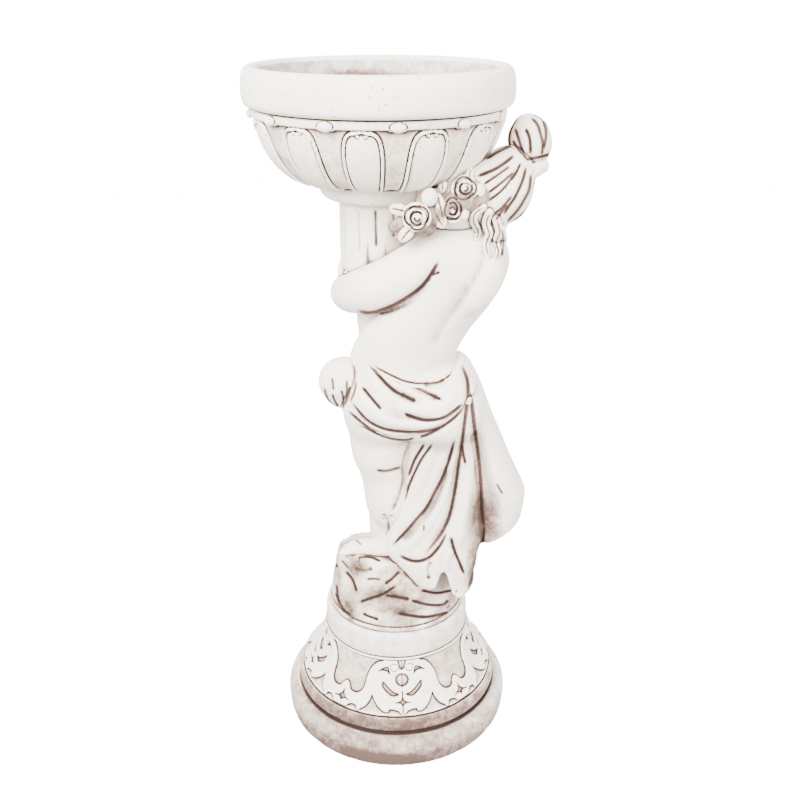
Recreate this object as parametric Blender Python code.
# Girl statue planter in cast stone: a round plinth, a girl who hugs a column while
# she stands on a rock, and a lobed basin that rests on the column's top.
# Metres, +Z up. The origin is on the plinth's axis, at its underside, and the back of
# the girl faces -Y.

import math

import bmesh
import bpy
from mathutils import Euler, Matrix, Vector
from mathutils.bvhtree import BVHTree

# Plinth
PLINTH_HEIGHT = 0.1940
DISC_RADIUS = 0.1772
DISC_HEIGHT = 0.0460
RING_RADIUS = 0.1587
RING_HEIGHT = 0.0260
COLLAR_RADIUS = 0.1120
COLLAR_HEIGHT = 0.0420
COVE_FOOT_RADIUS = 0.1546
COVE_RELIEF = 0.0040
GROOVE_HEIGHT = 0.0040
# Degrees round the cove, from the front, at which the scrolls have their middles
SCROLL_TURNS = (4.0, 83.0, 150.3, 217.7, 285.0)
SCROLL_HALF_TURN = 39.5
PLINTH_SIDES = 84

# Girl and column
STATUE_HEIGHT = 0.6370
COLUMN_X = -0.0218
SHAFT_RADIUS = 0.0330
SHAFT_FOOT_SHIFT = 0.0160
DRUM_RADIUS = 0.0545
DRUM_HEIGHT = 0.0850
ROCK_MARGIN = 0.0070
SKIN_GRAIN = 0.0042
STATUE_DETAIL = 0.040

# Basin
BASIN_HEIGHT = 0.1687
RIM_RADIUS = 0.1777
RIM_BAND = 0.0510
RIM_THICKNESS = 0.0225
BASIN_WALL = 0.0190
BASIN_FLOOR = 0.0300
NECK_OVERHANG = 0.0180
NECK_HEIGHT = 0.0200
LOBES = 12
LOBE_TURN = -6.3
LOBE_RELIEF = 0.0090
BASIN_SIDES = 60

# Colours of the three castings
PLINTH_COLOUR = (0.80, 0.77, 0.73)
FIGURE_COLOUR = (0.83, 0.80, 0.76)
BASIN_COLOUR = (0.82, 0.79, 0.75)
STONE_ROUGHNESS = 0.84

# Room left where one casting rests on, or passes close to, another
FIT_GAP = 0.0003
HAIR_GAP = 0.0010

# The figure's points are given in parts: the statue is 637 parts high
PART = STATUE_HEIGHT / 637
STATUE_FOOT = PLINTH_HEIGHT + FIT_GAP
BASIN_FOOT = STATUE_FOOT + STATUE_HEIGHT + FIT_GAP
BASIN_TOP = BASIN_FOOT + BASIN_HEIGHT
ROCK_RADIUS = COLLAR_RADIUS - ROCK_MARGIN
NECK_RADIUS = DRUM_RADIUS + NECK_OVERHANG


def addMaterial(name, colour):
    material = bpy.data.materials.new(name)
    material.use_nodes = True
    shader = material.node_tree.nodes["Principled BSDF"]
    shader.inputs["Base Color"].default_value = (*colour, 1.0)
    shader.inputs["Roughness"].default_value = STONE_ROUGHNESS
    shader.inputs["Metallic"].default_value = 0.0
    return material


def addObject(name, form, material=None):
    """Turns a bmesh into an object of the scene, smooth but for its sharp arrises."""
    bmesh.ops.recalc_face_normals(form, faces=form.faces)
    mesh = bpy.data.meshes.new(name)
    form.to_mesh(mesh)
    form.free()
    mesh.shade_smooth()
    mesh.set_sharp_from_angle(angle=math.radians(50))
    made = bpy.data.objects.new(name, mesh)
    bpy.context.scene.collection.objects.link(made)
    if material:
        mesh.materials.append(material)
    return made


def smoothStep(low, high, value):
    share = min(max((value - low) / (high - low), 0.0), 1.0)
    return share * share * (3 - 2 * share)


def arc(centre, size, start, end, steps):
    """Points (radius, height) of an elliptical quarter or half moulding, degrees from +radius."""
    points = []
    for step in range(steps + 1):
        angle = math.radians(start + (end - start) * step / steps)
        points.append((centre[0] + size[0] * math.cos(angle), centre[1] + size[1] * math.sin(angle)))
    return points


def addTurned(form, profile, sides, relief=None, centreX=0.0):
    """Turns a profile that starts and ends on the axis; relief(turn, row) adds to the radius."""
    rings = []
    for row, (radius, height) in enumerate(profile):
        if radius == 0:
            rings.append([form.verts.new((centreX, 0, height))])
            continue
        ring = []
        for side in range(sides):
            turn = 2 * math.pi * side / sides
            reach = radius + (relief(turn, row) if relief else 0.0)
            ring.append(form.verts.new((centreX + reach * math.sin(turn), -reach * math.cos(turn), height)))
        rings.append(ring)
    for lower, upper in zip(rings, rings[1:]):
        for side in range(sides):
            after = (side + 1) % sides
            corners = [lower[side % len(lower)], lower[after % len(lower)],
                       upper[after % len(upper)], upper[side % len(upper)]]
            form.faces.new(list(dict.fromkeys(corners)))


def strokeHeight(spot, strokes, width):
    """Height from 0 to 1 of rounded bands along the strokes, at a spot on an unrolled wall."""
    nearest = 1e9
    for stroke in strokes:
        for start, end in zip(stroke, stroke[1:]):
            run = (end[0] - start[0], end[1] - start[1])
            off = (spot[0] - start[0], spot[1] - start[1])
            share = (off[0] * run[0] + off[1] * run[1]) / (run[0] ** 2 + run[1] ** 2)
            share = min(max(share, 0.0), 1.0)
            nearest = min(nearest, math.hypot(off[0] - share * run[0], off[1] - share * run[1]))
    return 1 - smoothStep(width * 0.5, width * 1.5, nearest)


# Half of one scroll on the cove, from the lyre's middle (0) to the leaf tips halfway to the
# next lyre (1.3), against the height on the cove (0 foot, 1 collar)
SCROLL_STROKES = (
    ((0.06, 0.12), (0.30, 0.20), (0.44, 0.46), (0.38, 0.78), (0.18, 0.84)),
    ((0.00, 0.42), (0.12, 0.55)),
    ((0.44, 0.20), (0.70, 0.20), (0.88, 0.46), (0.80, 0.80), (0.62, 0.66)),
    ((0.90, 0.50), (1.10, 0.34), (1.28, 0.22)),
    ((1.02, 0.82), (1.16, 0.66), (1.28, 0.80)),
)
SCROLL_REACH = 1.3
SCROLL_WIDTH = 0.085


def makePlinth(material):
    """Plain disc, groove, ring, a cove with scrolls in flat relief, and the collar under the rock."""
    ringFoot = DISC_HEIGHT + GROOVE_HEIGHT
    coveFoot = ringFoot + RING_HEIGHT
    coveHeight = PLINTH_HEIGHT - COLLAR_HEIGHT - coveFoot
    coveDepth = COVE_FOOT_RADIUS - COLLAR_RADIUS
    coveRows = 9
    disc = [(DISC_RADIUS - 0.002, 0.0)] + arc((DISC_RADIUS - 0.010, DISC_HEIGHT * 0.62),
                                             (0.010, DISC_HEIGHT * 0.38), -10, 90, 2)
    ring = arc((RING_RADIUS - 0.008, ringFoot + RING_HEIGHT / 2), (0.008, RING_HEIGHT / 2), -70, 70, 1)
    cove = []
    for row in range(coveRows):
        share = row / (coveRows - 1)
        cove.append((COLLAR_RADIUS + coveDepth * (1 - share) ** 2, coveFoot + 0.002 + coveHeight * share))
    collar = arc((COLLAR_RADIUS - 0.008, PLINTH_HEIGHT - COLLAR_HEIGHT / 2),
                 (0.008, COLLAR_HEIGHT / 2 - 0.002), -65, 65, 1)
    profile = [(0, 0)] + disc + ring + cove + collar + [(COLLAR_RADIUS - 0.010, PLINTH_HEIGHT),
                                                      (0, PLINTH_HEIGHT)]
    firstCove = 1 + len(disc) + len(ring)

    def relief(turn, row):
        step = row - firstCove
        if step <= 0 or step >= coveRows - 1:
            return 0.0
        away = min(abs((math.degrees(turn) - middle + 180) % 360 - 180) for middle in SCROLL_TURNS)
        across = SCROLL_REACH * away / SCROLL_HALF_TURN
        return COVE_RELIEF * strokeHeight((across, step / (coveRows - 1)), SCROLL_STROKES, SCROLL_WIDTH)

    form = bmesh.new()
    addTurned(form, profile, PLINTH_SIDES, relief)
    return addObject("plinth", form, material)


def lobeWall(foot, top, steps=6):
    """A bowl's wall from its foot to its widest place, as rows of radius and height."""
    rows = []
    for step in range(steps + 1):
        angle = math.radians(90 * step / steps)
        rows.append((foot[0] + (top[0] - foot[0]) * math.sin(angle) ** 0.92,
                     top[1] - (top[1] - foot[1]) * math.cos(angle)))
    return rows


def lobeEnds():
    """Foot and top of the lobes, as radius and height."""
    foot = (NECK_RADIUS + 0.014, BASIN_FOOT + NECK_HEIGHT + 0.004)
    return foot, (RIM_RADIUS - 0.0137, BASIN_TOP - RIM_BAND - 0.012)


def basinProfile():
    """Outer side of the basin from its foot to its rim, as rows of radius, height and lobe share."""
    band = BASIN_TOP - RIM_BAND
    rows = [(NECK_RADIUS, BASIN_FOOT, 0.0), (NECK_RADIUS + 0.0095, BASIN_FOOT + NECK_HEIGHT * 0.55, 0.0),
            (NECK_RADIUS + 0.0095, BASIN_FOOT + NECK_HEIGHT, 0.0)]
    wall = lobeWall(*lobeEnds())
    for step, (radius, height) in enumerate(wall):
        rows.append((radius, height, math.sin(math.pi * min(step / len(wall) + 0.16, 1.0)) ** 0.5))
    rows += [(RIM_RADIUS - 0.0105, band - 0.010, 0.0), (RIM_RADIUS - 0.0105, band - 0.002, 0.0)]
    rows += [(radius, height, 0.0) for radius, height in
             arc((RIM_RADIUS - 0.011, band + RIM_BAND * 0.42), (0.011, RIM_BAND * 0.40), -80, 0, 1)]
    rows += [(radius, height, 0.0) for radius, height in
             arc((RIM_RADIUS - 0.012, band + RIM_BAND * 0.44), (0.012, RIM_BAND * 0.56), 30, 90, 2)]
    return rows


def makeBasin(material):
    """Hollow bowl: neck ring, twelve raised tongues with darts between them, and a plain rim band."""
    outer = basinProfile()
    foot, top = lobeEnds()
    inside = lobeWall((foot[0] - BASIN_WALL, BASIN_FOOT + BASIN_FLOOR), (top[0] - BASIN_WALL, top[1]), 5)
    hollow = [(RIM_RADIUS - RIM_THICKNESS, BASIN_TOP - 0.003)] + inside[::-1]
    profile = [(0, BASIN_FOOT)] + [row[:2] for row in outer] + hollow + [(0, BASIN_FOOT + BASIN_FLOOR)]

    def relief(turn, row):
        if row < 1 or row > len(outer) or outer[row - 1][2] == 0:
            return 0.0
        swing = math.cos((math.degrees(turn) - LOBE_TURN) * LOBES * math.pi / 180)
        return -LOBE_RELIEF * outer[row - 1][2] * ((1 - swing) / 2) ** 2

    form = bmesh.new()
    addTurned(form, profile, BASIN_SIDES, relief, COLUMN_X)
    return addObject("basin", form, material)


def place(x, y, z):
    """A place on the figure, given in parts from the column's axis and the rock's underside."""
    return Vector((COLUMN_X + x * PART, y * PART, STATUE_FOOT + z * PART))


def smoothRun(rows, steps):
    """Catmull-Rom run through rows of numbers."""
    rows = [tuple(2 * a - b for a, b in zip(rows[0], rows[1]))] + list(rows)
    rows.append(tuple(2 * a - b for a, b in zip(rows[-1], rows[-2])))
    run = []
    for a, b, c, d in zip(rows, rows[1:], rows[2:], rows[3:]):
        for step in range(steps):
            t = step / steps
            run.append(tuple(0.5 * (2 * q + (r - p) * t + (2 * p - 5 * q + 4 * r - s) * t * t
                                    + (3 * q - p - 3 * r + s) * t ** 3) for p, q, r, s in zip(a, b, c, d)))
    return run + [rows[-2]]


def addRings(form, rings):
    """Skins a run of closed rings and fills both ends."""
    for lower, upper in zip(rings, rings[1:]):
        for side in range(len(lower)):
            after = (side + 1) % len(lower)
            form.faces.new((lower[side], lower[after], upper[after], upper[side]))
    form.faces.new(rings[0][::-1])
    form.faces.new(rings[-1])


def addLimb(form, rows, sides=14, steps=5):
    """A round limb along rows of place and radius in parts, closed by half-round ends."""
    run = [(*place(*row[:3]), row[3] * PART) for row in smoothRun(rows, steps)]
    centres = [Vector(row[:3]) for row in run]
    radii = [row[3] for row in run]
    first = (centres[1] - centres[0]).normalized()
    last = (centres[-1] - centres[-2]).normalized()
    tips = [math.radians(angle) for angle in (80, 55, 28)]
    start = [(centres[0] - first * radii[0] * math.sin(a), radii[0] * math.cos(a)) for a in tips]
    end = [(centres[-1] + last * radii[-1] * math.sin(a), radii[-1] * math.cos(a)) for a in reversed(tips)]
    stations = start + list(zip(centres, radii)) + end
    rings = []
    sideways = first.orthogonal().normalized()
    for index, (centre, radius) in enumerate(stations):
        ahead = stations[min(index + 1, len(stations) - 1)][0] - stations[max(index - 1, 0)][0]
        ahead.normalize()
        sideways = (sideways - ahead * sideways.dot(ahead)).normalized()
        across = ahead.cross(sideways)
        ring = []
        for side in range(sides):
            turn = 2 * math.pi * side / sides
            ring.append(form.verts.new(centre + (sideways * math.cos(turn) + across * math.sin(turn)) * radius))
        rings.append(ring)
    addRings(form, rings)


def addLoft(form, rows, sides=28, steps=5):
    """A trunk of level ovals: rows of place, half width, half depth and turn in degrees."""
    rings = []
    for x, y, z, wide, deep, turn in smoothRun(rows, steps):
        ring = []
        for side in range(sides):
            angle = 2 * math.pi * side / sides
            across = wide * math.cos(angle)
            back = deep * math.sin(angle)
            swing = math.radians(turn)
            ring.append(form.verts.new(place(x + across * math.cos(swing) - back * math.sin(swing),
                                             y + across * math.sin(swing) + back * math.cos(swing), z)))
        rings.append(ring)
    addRings(form, rings)


def addEgg(form, centre, radii, tilt=(0, 0, 0)):
    """An ellipsoid, its radii in parts and its tilt in degrees about X, then Y, then Z."""
    turn = Euler([math.radians(angle) for angle in tilt]).to_matrix().to_4x4()
    size = Matrix.Diagonal((*[radius * PART for radius in radii], 1))
    bmesh.ops.create_uvsphere(form, u_segments=20, v_segments=12, radius=1,
                              matrix=Matrix.Translation(place(*centre)) @ turn @ size)


# Rows of place and radius, in parts
LEFT_ARM = ((74, -68, 570, 35), (50, -78, 558, 34), (18, -78, 539, 34), (-12, -68, 524, 33),
            (-32, -50, 514, 30), (-43, -24, 508, 25), (-44, 4, 506, 22), (-34, 34, 506, 20),
            (-12, 54, 508, 16))
RIGHT_ARM = ((140, -46, 564, 33), (137, -12, 548, 29), (118, 20, 530, 27), (88, 42, 520, 25),
             (46, 52, 518, 22), (4, 58, 522, 18), (-30, 48, 530, 13), (-47, 22, 537, 9))
LEFT_LEG = ((4, -50, 366, 50), (-2, -52, 306, 43), (0, -52, 261, 36), (2, -49, 234, 32.5),
            (4, -52, 206, 31), (5, -48, 174, 25), (6, -44, 146, 17), (4, -44, 124, 17))
LEFT_FOOT = ((8, -46, 118, 16), (-12, -42, 115, 17), (-38, -36, 111, 13), (-55, -32, 108, 9))
NECK = ((116, -50, 570, 36), (112, -48, 600, 30), (106, -46, 634, 30))
BENT_KNEE = ((98, -45, 376, 36), (128, -42, 306, 44), (161, -38, 231, 46), (164, -34, 201, 46),
             (152, -28, 160, 42), (124, -20, 116, 34))
# Rows of place, half width, half depth and turn in degrees
TRUNK = ((36, -50, 318, 84, 52, 0), (38, -50, 366, 88, 58, 2), (32, -48, 422, 75, 50, 8),
         (49, -51, 461, 77, 48, 14), (83, -54, 504, 74, 45, 20), (106, -54, 545, 61, 42, 24),
         (120, -53, 580, 44, 34, 24))
SKIRT = ((80, -50, 400, 62, 54, 0), (92, -50, 306, 70, 56, -4), (98, -48, 226, 82, 60, -6),
         (92, -44, 156, 80, 62, -4), (86, -36, 96, 68, 62, 0), (86, -32, 38, 52, 56, 0))
# Ridges of cloth as seen from behind the girl, each as its radius and its places across and up
CLOTH_FOLDS = (
    (10, ((-18, 434), (1, 412), (28, 398), (62, 398), (92, 412), (105, 435))),
    (10, ((-20, 380), (1, 355), (35, 343), (76, 347), (107, 365))),
    (7, ((-8, 398), (20, 376), (54, 370), (90, 388))),
    (12, ((72, 333), (64, 280), (50, 225), (34, 192), (17, 150))),
    (12, ((112, 340), (98, 278), (91, 239), (79, 198), (57, 156), (43, 130))),
    (11, ((126, 360), (125, 271), (121, 223), (112, 173), (102, 122), (106, 79))),
    (9, ((138, 363), (157, 301), (174, 236), (173, 178))),
    (7, ((20, 134), (36, 107), (58, 94), (78, 108))),
)
ROSES = ((48, -112, 632, 19), (93, -112, 641, 17), (108, -100, 664, 17), (66, -112, 660, 12))
HAIR_LOCKS = (
    ((96, -98, 676, 12), (130, -92, 700, 14), (166, -62, 712, 14), (186, -30, 716, 14)),
    ((120, -96, 650, 13), (152, -84, 676, 15), (182, -52, 700, 14), (196, -26, 712, 13)),
    ((140, -80, 622, 13), (168, -70, 650, 15), (196, -44, 680, 14), (206, -22, 706, 12)),
    ((152, -52, 606, 13), (178, -40, 632, 14), (202, -20, 668, 14), (208, -10, 704, 12)),
)
RINGLETS = (
    ((112, -104, 626, 7), (106, -106, 606, 7), (110, -104, 586, 7), (108, -102, 570, 6)),
    ((126, -98, 622, 7), (122, -102, 600, 7), (127, -100, 574, 7), (124, -98, 552, 6)),
    ((138, -90, 616, 7), (142, -94, 588, 7), (138, -94, 560, 7), (138, -90, 538, 6)),
)


def addTrunk(form):
    """Back, hips and shoulders, leaning from the left hip to the right shoulder."""
    addLoft(form, TRUNK)
    addEgg(form, (82, -64, 574), (38, 33, 34))
    addEgg(form, (138, -54, 556), (30, 34, 36))
    addEgg(form, (0, -68, 354), (50, 46, 50))
    addEgg(form, (84, -72, 356), (54, 48, 54))
    addLimb(form, NECK)


def addLimbs(form):
    for limb in (LEFT_ARM, RIGHT_ARM, LEFT_LEG, LEFT_FOOT):
        addLimb(form, limb)


def addHead(form):
    """Head bent to the column, its face on the far side, with the hair drawn up to a bun."""
    addEgg(form, (100, -46, 648), (56, 52, 54))
    addEgg(form, (88, 2, 640), (8, 12, 14))
    addEgg(form, (92, -14, 612), (24, 22, 18))
    addEgg(form, (156, -48, 654), (44, 42, 46))
    addEgg(form, (197, -24, 712), (28, 30, 35), (0, -14, 0))
    for turn in range(5):
        swing = math.radians(-60 + 30 * turn)
        addEgg(form, (197 + 17 * math.sin(swing), -24 - 17 * math.cos(swing), 711), (11, 12, 33), (0, -14, 0))
    for lock in HAIR_LOCKS:
        addLimb(form, lock, 10)
    for ringlet in RINGLETS:
        addLimb(form, ringlet, 8)


def addWreath(form):
    """Roses across the back of the head, each a ball with a ring of petals round it."""
    for x, y, z, radius in ROSES:
        addEgg(form, (x, y + 8, z), (radius * 0.7, radius * 0.8, radius * 0.7))
        for petal in range(5):
            turn = 2 * math.pi * petal / 5
            addEgg(form, (x + radius * 0.62 * math.cos(turn), y + 7, z + radius * 0.62 * math.sin(turn)),
                   (radius * 0.48, radius * 0.55, radius * 0.48))
    addEgg(form, (26, -100, 620), (16, 12, 9), (0, 20, 0))
    addEgg(form, (76, -106, 616), (9, 10, 15), (0, 20, 0))


def addSkirt(form):
    """Cloth from the hip down: the fall behind the leg, the bent knee's billow and the hip knot."""
    addLoft(form, SKIRT)
    addLimb(form, BENT_KNEE)
    addEgg(form, (-56, -50, 386), (30, 30, 38))
    for pleat in range(3):
        addLimb(form, ((-58 + 9 * pleat, -72, 372, 8), (-52 + 7 * pleat, -70, 340 - 4 * pleat, 6),
                       (-48 + 7 * pleat, -66, 322 - 4 * pleat, 5)), 8)


def addColumn(form):
    """The shaft, which leans a little out from the plinth's middle, and the upright bell and drum."""
    drumFoot = STATUE_FOOT + STATUE_HEIGHT - DRUM_HEIGHT
    bell = DRUM_RADIUS - SHAFT_RADIUS
    bellFoot = drumFoot - 2.4 * bell
    profile = [(0, bellFoot), (SHAFT_RADIUS, bellFoot)]
    profile += [(SHAFT_RADIUS + bell * share ** 2, bellFoot + 2.4 * bell * share)
                for share in (0.35, 0.6, 0.8)]
    profile += [(DRUM_RADIUS, drumFoot), (DRUM_RADIUS, BASIN_FOOT + 0.01), (0, BASIN_FOOT + 0.01)]
    addTurned(form, profile, 48, centreX=COLUMN_X)
    top = (bellFoot - STATUE_FOOT) / PART
    radius = SHAFT_RADIUS / PART
    shift = SHAFT_FOOT_SHIFT / PART
    addLimb(form, ((shift, shift / 2, 50, radius), (shift / 2, shift / 4, top / 2, radius), (0, 0, top, radius)), 32)


def addRock(form):
    """Rock on a round foot that follows the plinth's collar, broken into a few ledges."""
    top = STATUE_FOOT + 96 * PART
    foot = [(0, STATUE_FOOT - 0.01), (ROCK_RADIUS, STATUE_FOOT - 0.01), (ROCK_RADIUS, STATUE_FOOT + 0.006),
            (ROCK_RADIUS - 0.004, STATUE_FOOT + 0.012), (ROCK_RADIUS * 0.97, STATUE_FOOT + 50 * PART),
            (ROCK_RADIUS * 0.88, STATUE_FOOT + 82 * PART), (ROCK_RADIUS * 0.74, top), (0, top)]

    def ledges(turn, row):
        if row < 3 or row > 6:
            return 0.0
        return 0.004 * math.sin(3 * turn + row) + 0.003 * math.sin(7 * turn - 2 * row) - 0.003

    addTurned(form, foot, 48, ledges)


def addFolds(form, folds):
    """Lays ridges of cloth on the body where a level line from behind the girl meets it."""
    body = BVHTree.FromBMesh(form)
    for radius, places in folds:
        run = []
        for x, z in smoothRun(places, 3):
            start = place(x, -400, z)
            hit = body.ray_cast(start, Vector((0, 1, 0)))[0]
            if hit:
                run.append((x, hit.y / PART + radius * 0.25, z, radius))
        addLimb(form, run, 10, 1)


def addCutter(name, form):
    cutter = addObject(name, form)
    cutter.hide_render = True
    cutter.display_type = "WIRE"
    return cutter


def makeBasinCutter():
    """Room for the basin: flat where it rests on the drum, and clear of it everywhere else."""
    seat = STATUE_FOOT + STATUE_HEIGHT
    grown = [(radius + HAIR_GAP, height) for radius, height, share in basinProfile()]
    profile = [(0, seat), (grown[0][0], seat)] + grown[1:] + [(0, grown[-1][1])]
    form = bmesh.new()
    addTurned(form, profile, BASIN_SIDES, centreX=COLUMN_X)
    return addCutter("basin_room", form)


def makeSlabCutter(name, low, high):
    """A slab wider than the statue, between two heights."""
    form = bmesh.new()
    wide = 2 * STATUE_HEIGHT
    centre = Matrix.Translation((0, 0, (low + high) / 2))
    bmesh.ops.create_cube(form, size=1, matrix=centre @ Matrix.Diagonal((wide, wide, high - low, 1)))
    return addCutter(name, form)


def makeStatue(material):
    """One casting: rock, girl, cloth, wreath and column, grown together and cut flat top and bottom."""
    form = bmesh.new()
    addRock(form)
    addColumn(form)
    addTrunk(form)
    addLimbs(form)
    addSkirt(form)
    addFolds(form, CLOTH_FOLDS)
    addHead(form)
    addWreath(form)
    statue = addObject("girl_and_column", form, material)

    skin = statue.modifiers.new("one skin", "REMESH")
    skin.mode = "VOXEL"
    skin.voxel_size = SKIN_GRAIN
    skin.use_smooth_shade = True
    soften = statue.modifiers.new("soften", "SMOOTH")
    soften.factor = 0.5
    soften.iterations = 3
    facets = statue.modifiers.new("facets", "DECIMATE")
    facets.ratio = STATUE_DETAIL
    for cutter in (makeSlabCutter("foot_room", STATUE_FOOT - 0.05, STATUE_FOOT), makeBasinCutter()):
        cut = statue.modifiers.new(cutter.name, "BOOLEAN")
        cut.operation = "DIFFERENCE"
        cut.solver = "EXACT"
        cut.object = cutter
    return statue


def main():
    for old in list(bpy.data.objects):
        bpy.data.objects.remove(old)
    makePlinth(addMaterial("cast_stone_plinth", PLINTH_COLOUR))
    makeStatue(addMaterial("cast_stone_figure", FIGURE_COLOUR))
    makeBasin(addMaterial("cast_stone_basin", BASIN_COLOUR))


main()
